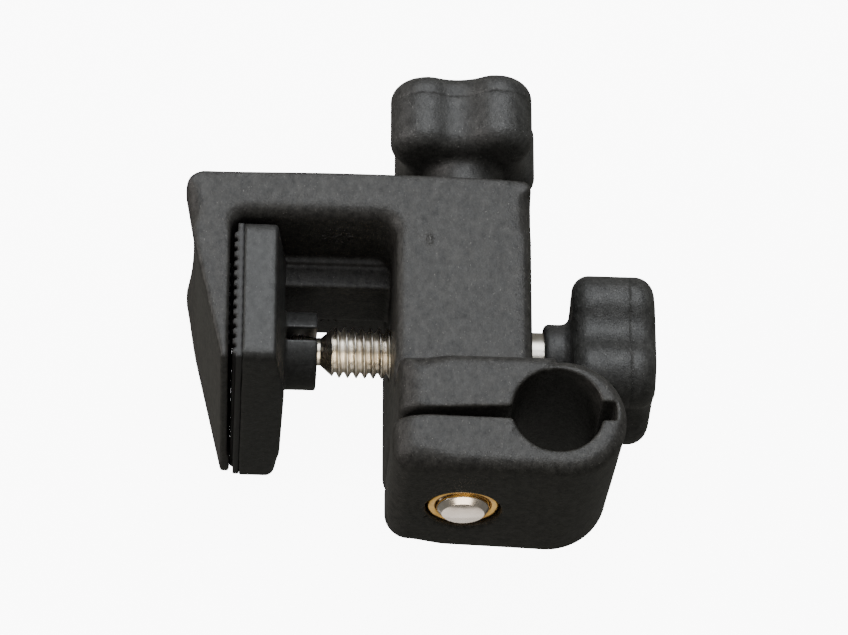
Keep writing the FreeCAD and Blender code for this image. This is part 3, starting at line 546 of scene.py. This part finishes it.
def pad_solid(x, y, z):
    """The sliding pad: back tapered towards both ends, rail notch and slotted ball socket."""
    centre = SPINDLE_Z
    right = PAD_RIGHT - PAD_FRONT_TAPER * np.clip((z - centre - PAD_HALF) / PAD_FRONT_RUN + 1, 0, 1)
    right = right - PAD_BACK_TAPER * np.clip((centre - z - PAD_HALF) / PAD_BACK_RUN + 1, 0, 1)
    tall = span(y, sagging(PAD_LOW.y, z, PAD_SAG), PAD_HIGH.y + PAD_RISE)
    wide = span(z, centre - PAD_HALF, centre + PAD_HALF)
    edge = 0.6 + (1.2 + 0.7 * ease(y, 30, 38)) * ease(z, centre, centre + 8)
    block = meet(meet(tall, wide, edge), x - right, 0.7 + 1.1 * ease(centre - z, 12, 20))
    block = meet(block, PAD_LOW.x + toe_in(z, PAD_TOE) - x, 0.2)
    block = carve(block, rail_notch(y, z), 0.4)
    across = np.hypot(y - SPINDLE_Y, z - centre)
    socket = meet(across - SOCKET_RADIUS, span(x, PAD_RIGHT - 3, SOCKET_END), 0.4)
    solid = join(block, socket, 0.6)
    slot = np.maximum(np.abs(y - SPINDLE_Y) - SOCKET_SLOT_HALF, SOCKET_SLOT_X - x)
    cavity = np.sqrt(across ** 2 + (x - BALL_X) ** 2) - BALL_RADIUS - 0.1
    mouth = np.maximum(across - NECK_RADIUS - 0.35, BALL_X - x)
    solid = carve(solid, slot, 0.25)
    return carve(solid, np.minimum(cavity, mouth), 0.25)


def facing(low, high, side, rib_count, toe, sag, rise):
    """A ribbed rubber sheet between two corners; side says which way its ribs point along X."""
    first = (low.y + high.y - RIB_PITCH * (rib_count - 1)) / 2
    back, crest = (low.x, high.x) if side > 0 else (high.x, low.x)

    def solid(x, y, z):
        height = (x - back - toe_in(z, toe)) * side
        base = np.maximum(-height, height - SHEET_THICK)
        nearest = np.clip(np.round((y - first) / RIB_PITCH), 0, rib_count - 1) * RIB_PITCH + first
        rib_height = np.maximum(height - abs(crest - back), -height)
        rib = meet(np.abs(y - nearest) - RIB_HALF, rib_height, 0.3)
        sheet = meet(join(base, rib, 0.35), span(y, sagging(low.y, z, sag), high.y + rise), 0.25)
        sheet = meet(sheet, span(z, low.z, high.z), 0.5)
        return carve(sheet, rail_notch(y, z), 0.2)

    return solid


def make_pad():
    pad = mesh_field("pressure_pad_moulding", pad_solid, PAD_LOW - Vector((0, PAD_SAG, 0)),
                     PAD_HIGH + Vector((0, PAD_RISE, 0)), 0.3)
    finish_piece(pad, PAD_NYLON, "pad", "pad_nylon", "pressure_pad")
    for name, node, body, low, high, side, count, toe, sag, rise in (
            ("pad_facing", "pressure_pad_liner", "pad", PAD_LINER_LOW, PAD_LINER_HIGH, -1, 13,
             PAD_TOE, 0.9, 1.2),
            ("jaw_facing", "fixed_jaw_liner", "frame", JAW_LINER_LOW, JAW_LINER_HIGH, 1, 9,
             JAW_TOE, 0, 0)):
        solid = facing(low, high, side, count, toe, sag, rise)
        piece = mesh_field(name, solid, low - Vector((0, sag, 0)), high + Vector((0, rise, 0)),
                           0.18, 0.1)
        finish_piece(piece, RUBBER, body, "grip_rubber", node)


# ------------------------------------------------------------------ knobs

def lobed_outline(u, v):
    """Distance from the four-lobed outline: lobe circles joined by tangent hollow circles."""
    lead = VALLEY_REACH - LOBE_RADIUS
    valley_offset = (2 * LOBE_OFFSET ** 2 - lead ** 2) / (2 * (LOBE_OFFSET - lead))
    valley_radius = valley_offset - VALLEY_REACH
    near = np.minimum(np.abs(u), np.abs(v))
    far = np.maximum(np.abs(u), np.abs(v))
    lobe = np.hypot(near - LOBE_OFFSET, far - LOBE_OFFSET) - LOBE_RADIUS
    valley = valley_radius - np.hypot(near, far - valley_offset)
    side = near * (valley_offset - LOBE_OFFSET) + (far - LOBE_OFFSET) * LOBE_OFFSET
    return np.where(side < LOBE_OFFSET * (valley_offset - LOBE_OFFSET), valley, lobe)


def knob_solid(u, v, h):
    """Knob with its hub's free end at h = 0: hub, lobed grip and slightly domed end."""
    grip = lobed_outline(u, v)
    radius = np.hypot(u, v)
    dome = h - KNOB_HEIGHT + KNOB_DOME * radius ** 2
    grip = meet(grip, dome, 3.3)
    grip = meet(grip, HUB_HEIGHT - h, 3.2)
    hub = meet(radius - HUB_RADIUS, span(h, 0, HUB_HEIGHT + 4), 1.0)
    return join(grip, hub, 1.8)


def knob_shell(u, v, h):
    """The knob up to its seam, with the screw's hole and the pocket of its head or nut."""
    solid = np.maximum(knob_solid(u, v, h), h - KNOB_SEAM)
    radius = np.hypot(u, v)
    solid = carve(solid, radius - KNOB_HOLE_RADIUS, 0.3)
    return carve(solid, np.maximum(radius - KNOB_POCKET_RADIUS, KNOB_POCKET_FLOOR - h), 0.2)


def knob_end(u, v, h):
    """The knob's hollow end; it starts a little inside the shell, so no gap shows at the seam."""
    solid = np.maximum(knob_solid(u, v, h) + 0.005, KNOB_SEAM - 0.5 - h)
    recess = np.maximum(np.hypot(u, v) - CAP_RECESS_RADIUS, h - KNOB_SEAM - CAP_RECESS)
    return carve(solid, recess, 0.2)


def make_knobs():
    """Both knobs are the same mouldings, meshed once and placed on each screw's axis."""
    reach = LOBE_OFFSET + LOBE_RADIUS
    half = Vector((reach, reach, 0))
    top = Matrix.Translation(Vector((BOLT_X + TOP_KNOB_SHIFT, TOP_KNOB_LOW.y, BOLT_Z)) * MM)
    top @= turned(-90, "X") @ turned(TOP_KNOB_TURN, "Z")
    side = Matrix.Translation(Vector((SIDE_KNOB_LOW.x, SPINDLE_Y, SPINDLE_Z)) * MM)
    side @= turned(90, "Y") @ turned(SIDE_KNOB_TURN, "Z")
    for part, solid, low, high in (
            ("grip", knob_shell, Vector((0, 0, 0)), Vector((0, 0, KNOB_SEAM))),
            ("end", knob_end, Vector((0, 0, KNOB_SEAM - 0.5)), Vector((0, 0, KNOB_HEIGHT)))):
        first = mesh_field(f"top_knob_{part}", solid, low - half, high + half, 0.28)
        second = bpy.data.objects.new(f"side_knob_{part}", first.data.copy())
        bpy.context.scene.collection.objects.link(second)
        first.data.transform(top)
        second.data.transform(side)
        suffix = "_cap" if part == "end" else ""
        finish_piece(first, KNOB_NYLON, "clamp_screw", "knob_nylon", f"bolt_knob{suffix}")
        finish_piece(second, KNOB_NYLON, "spindle", "knob_nylon", f"spindle_knob{suffix}")


# ------------------------------------------------------------------ screws and nut

def screw_radius(along, turn, outer, thread_from, thread_to):
    """Radius of a screw's surface: a rolled 60-degree thread under a turned outline."""
    phase = along / THREAD_PITCH - turn / (2 * math.pi)
    ridge = np.abs(2 * (phase - np.floor(phase)) - 1)
    depth = 0.6134 * THREAD_PITCH
    cut = depth * np.clip((ridge - 0.14) / 0.70, 0, 1)
    cut = cut * ease(along, thread_from - 0.4, thread_from + 0.8)
    cut = cut * (1 - ease(along, thread_to - 1.5, thread_to))
    return np.minimum(outer, THREAD_RADIUS - cut)


def lathe(name, stations, outline, threaded):
    """A closed turned surface along +Z: outline(h) is its radius, threaded its thread's span."""
    sides = 112
    turn = np.linspace(0, 2 * math.pi, sides, endpoint=False)
    along, around = np.meshgrid(stations, turn, indexing="ij")
    radius = screw_radius(along, around, outline(along), *threaded)
    points = np.stack([radius * np.cos(around), radius * np.sin(around), along], -1)
    points = points.reshape(-1, 3)
    rows = len(stations)
    faces = []
    for row in range(rows - 1):
        for step in range(sides):
            following = (step + 1) % sides
            faces.append((row * sides + step, row * sides + following,
                          (row + 1) * sides + following, (row + 1) * sides + step))
    faces.append(tuple(range(sides - 1, -1, -1)))
    faces.append(tuple(range((rows - 1) * sides, rows * sides)))
    return to_object(name, points, faces)


def make_spindle():
    """Ball end, neck, cone and thread, drawn along +Z and laid along +X."""
    ball, neck = BALL_RADIUS, NECK_RADIUS
    ball_end = BALL_X + 2.6
    cone = (-41.2, -38.7)
    end = SPINDLE_HIGH.x

    def outline(h):
        sphere = np.sqrt(np.maximum(ball ** 2 - (h - BALL_X) ** 2, 0.01))
        shank = neck + (THREAD_RADIUS - neck) * np.clip((h - cone[0]) / (cone[1] - cone[0]), 0, 1)
        shank = np.minimum(shank, THREAD_RADIUS - 0.8 + np.clip(end - h, 0, 0.8))
        return np.where(h < ball_end, np.maximum(sphere, np.where(h > BALL_X, neck, 0)),
                        shank)

    stations = np.concatenate([BALL_X - ball * np.cos(np.linspace(0.02, 2.4, 22)),
                               np.linspace(-42.3, cone[0], 5),
                               np.linspace(cone[0] + 0.1, cone[1] + 1.0, 30),
                               np.arange(cone[1] + 1.1, end, THREAD_PITCH / 14), [end]])
    stations[0] = SPINDLE_LOW.x
    piece = lathe("spindle_turned", stations, outline, (cone[1] - 0.7, COLUMN_RIGHT - 0.2))
    piece.data.transform(Matrix.Translation(Vector((0, SPINDLE_Y, SPINDLE_Z)) * MM)
                         @ turned(90, "Y"))
    finish_piece(piece, STEEL, "spindle", "plated_steel", "spindle_screw")


def make_bolt():
    """The hexagon-head screw, drawn head up along +Z and laid along +Y."""
    tip = BOLT_LOW.y
    top = BOLT_HIGH.y
    head = top - 5.9
    head_reach = 14.2 / math.sqrt(3)

    def outline(h):
        return np.minimum(THREAD_RADIUS, 3.8 + np.clip(h - tip, 0, 5) * 0.9)

    stations = np.concatenate([[tip], tip + np.linspace(0.12, 1.4, 10),
                               np.arange(tip + 1.5, tip + 27, THREAD_PITCH / 14),
                               [tip + 28, head]])
    piece = lathe("bolt_shank", stations, outline, (tip + 1.6, tip + 26))
    mesh = bmesh.new()
    mesh.from_mesh(piece.data)
    corners = [Vector((head_reach * math.cos(math.radians(60 * k)),
                       head_reach * math.sin(math.radians(60 * k)), 0)) for k in range(6)]
    rings = []
    for height, scale in ((head, 0.97), (head + 0.2, 1), (top - 0.6, 1), (top, 0.9)):
        rings.append([mesh.verts.new((c * scale + Vector((0, 0, height))) * MM) for c in corners])
    for lower, upper in zip(rings, rings[1:]):
        for k in range(6):
            mesh.faces.new((lower[k], lower[(k + 1) % 6], upper[(k + 1) % 6], upper[k]))
    mesh.faces.new(reversed(rings[0]))
    mesh.faces.new(rings[-1])
    mesh.to_mesh(piece.data)
    mesh.free()
    piece.data.transform(Matrix.Translation(Vector((BOLT_X, 0, BOLT_Z)) * MM)
                         @ turned(-90, "X") @ turned(TOP_KNOB_TURN, "Z"))
    finish_piece(piece, BOLT_STEEL, "clamp_screw", "plated_steel", "clamp_bolt")


def nut_solid(x, y, z):
    """The floating brass nut: a bevelled round collar under a hexagon."""
    u, v = x - BOLT_X, z - BOLT_Z
    radius = np.hypot(u, v)
    collar = meet(radius - COLLAR_RADIUS, span(y, NUT_LOW.y - COLLAR_DROP, NUT_LOW.y + 2.0), 0.5)
    hexagon = np.abs(v)
    for angle in (60, -60):
        across = u * math.sin(math.radians(angle)) + v * math.cos(math.radians(angle))
        hexagon = np.maximum(hexagon, np.abs(across))
    hexagon = meet(hexagon - NUT_HEXAGON_HALF, span(y, NUT_LOW.y + 1.0, NUT_HIGH.y), 0.2)
    return carve(np.minimum(collar, hexagon), radius - NUT_HOLE_RADIUS, 0.8)


def make_nut():
    low = NUT_LOW - Vector((COLLAR_MARGIN, COLLAR_DROP, COLLAR_MARGIN))
    high = NUT_HIGH + Vector((COLLAR_MARGIN, 0, COLLAR_MARGIN))
    piece = mesh_field("brass_nut", nut_solid, low, high, 0.15, 0.05)
    finish_piece(piece, BRASS, "nut", "brass", "clamp_nut")


# ------------------------------------------------------------------ small moulded marks

def make_dials():
    """Two date dials under the arm: raised ticks in a circle around a short bar, no figures."""
    mesh = bmesh.new()
    under = ARM_UNDER + 0.05

    def bar(centre_z, angle, inner, outer, width):
        """A raised bar that runs radially between two radii."""
        corners = []
        for level in (under, under - DIAL_PROUD):
            inset = 0 if level == under else 0.08
            for radius, side in ((inner + inset, -1), (outer - inset, -1),
                                 (outer - inset, 1), (inner + inset, 1)):
                half = (width / 2 - inset * 0.6) * side
                corners.append(mesh.verts.new(Vector((
                    DIAL_X + radius * math.cos(angle) - half * math.sin(angle), level,
                    centre_z + radius * math.sin(angle) + half * math.cos(angle))) * MM))
        for face in ((0, 1, 2, 3), (4, 7, 6, 5), (0, 4, 5, 1), (1, 5, 6, 2), (2, 6, 7, 3),
                     (3, 7, 4, 0)):
            mesh.faces.new([corners[k] for k in face])

    for centre_z in (SPINDLE_Z + DIAL_REACH, SPINDLE_Z - DIAL_REACH):
        for tick in range(12):
            bar(centre_z, math.radians(30 * tick), 1.9, 2.9, 0.32)
        bar(centre_z, math.radians(35), -1.2, 1.3, 0.4)
    bmesh.ops.recalc_face_normals(mesh, faces=mesh.faces)
    data = bpy.data.meshes.new("date_dials")
    mesh.to_mesh(data)
    mesh.free()
    piece = bpy.data.objects.new("date_dials", data)
    bpy.context.scene.collection.objects.link(piece)
    finish_piece(piece, FRAME_NYLON, "frame", "frame_nylon")


# ------------------------------------------------------------------ stage

def area_light(name, place, aim, size, power, colour):
    data = bpy.data.lights.new(name, "AREA")
    data.shape = "RECTANGLE"
    data.size, data.size_y = size
    data.energy = power
    data.color = colour
    light = bpy.data.objects.new(name, data)
    light.location = place
    light.rotation_euler = (Vector(aim) - Vector(place)).to_track_quat("-Z", "Y").to_euler()
    bpy.context.scene.collection.objects.link(light)
    return light


def make_stage():
    mesh = bpy.data.meshes.new("floor")
    level = CAD_BOX[0][2] - 0.00002
    half = 1.5
    mesh.from_pydata([(-half, -half, level), (half, -half, level), (half, half, level),
                      (-half, half, level)], [], [(0, 1, 2, 3)])
    floor = bpy.data.objects.new("floor", mesh)
    bpy.context.scene.collection.objects.link(floor)
    material, nodes, links, shader = new_material("floor_paper")
    links.new(ramp(nodes, links, noise(nodes, links, 40, 2), [(0.3, (0.86, 0.86, 0.86)),
                                                              (0.7, (0.90, 0.90, 0.90))]),
              shader.inputs["Base Color"])
    shader.inputs["Roughness"].default_value = 0.9
    floor.data.materials.append(material)
    shader.inputs["Emission Color"].default_value = (1, 1, 1, 1)
    shader.inputs["Emission Strength"].default_value = 9.0
    floor.visible_diffuse = False
    floor.visible_glossy = False

    world = bpy.data.worlds.new("studio")
    bpy.context.scene.world = world
    world.use_nodes = True
    world.node_tree.nodes["Background"].inputs["Color"].default_value = (0.93, 0.92, 0.84, 1)
    world.node_tree.nodes["Background"].inputs["Strength"].default_value = 0.20

    area_light("overhead", (0.02, 0.40, 0.70), (-0.02, 0.02, 0), (0.7, 0.5), 5.4,
               (0.93, 0.965, 1.0))
    area_light("front_fill", (-0.02, -0.05, 0.85), (-0.03, 0.02, 0), (0.25, 0.25), 1.0,
               (0.95, 0.97, 1.0))
    area_light("left_fill", (-0.8, 0.06, 0.35), (-0.03, 0.02, 0), (0.4, 0.4), 3,
               (1.0, 0.94, 0.92))
    kicker = area_light("metal_kicker", (-0.02, -0.42, 0.26), (-0.02, 0, 0), (0.5, 0.5), 4.5,
                        (1.0, 0.88, 0.70))
    card = area_light("bolt_card", (BOLT_X * MM, -0.030, -0.034),
                      (BOLT_X * MM, -0.012, 0), (0.05, 0.045), 0.008, (1.0, 0.93, 0.85))
    metals = bpy.data.collections.new("metal_receivers")
    for name in ("bolt_shank", "brass_nut", "spindle_turned"):
        metals.objects.link(bpy.data.objects[name])
    for light in (kicker, card):
        light.visible_camera = False
        light.light_linking.receiver_collection = metals


def make_camera():
    """Long lens on the front of the lying clamp, with the arm's side up in the picture."""
    aim = Vector((-0.0229, 0.0270, 0.0))
    azimuth = math.radians(-6.87)
    elevation = math.radians(61.58)
    distance = 0.900
    look = Vector((-math.cos(elevation) * math.sin(azimuth),
                   math.cos(elevation) * math.cos(azimuth), -math.sin(elevation))).normalized()
    right = look.cross(Vector((0, 1, 0))).normalized()
    up = right.cross(look)
    data = bpy.data.cameras.new("camera")
    data.lens = 208.0
    data.sensor_width = 36.0
    camera = bpy.data.objects.new("camera", data)
    rotation = Matrix((right, up, -look)).transposed()
    camera.matrix_world = Matrix.Translation(aim - look * distance) @ rotation.to_4x4()
    bpy.context.scene.collection.objects.link(camera)
    bpy.context.scene.camera = camera


make_moulding()
make_pad()
make_knobs()
make_spindle()
make_bolt()
make_nut()
make_dials()
make_stage()
make_camera()
for node, material in (("spindle_bush", BRASS), ("hub_thrust_washer", STEEL),
                       ("thrust_disc", STEEL), ("spindle_knob_washer", STEEL),
                       ("spindle_knob_nut", STEEL), ("bolt_knob_washer", STEEL),
                       ("nut_washer", STEEL)):
    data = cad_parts[node].data
    data.materials.clear()
    data.materials.append(material)
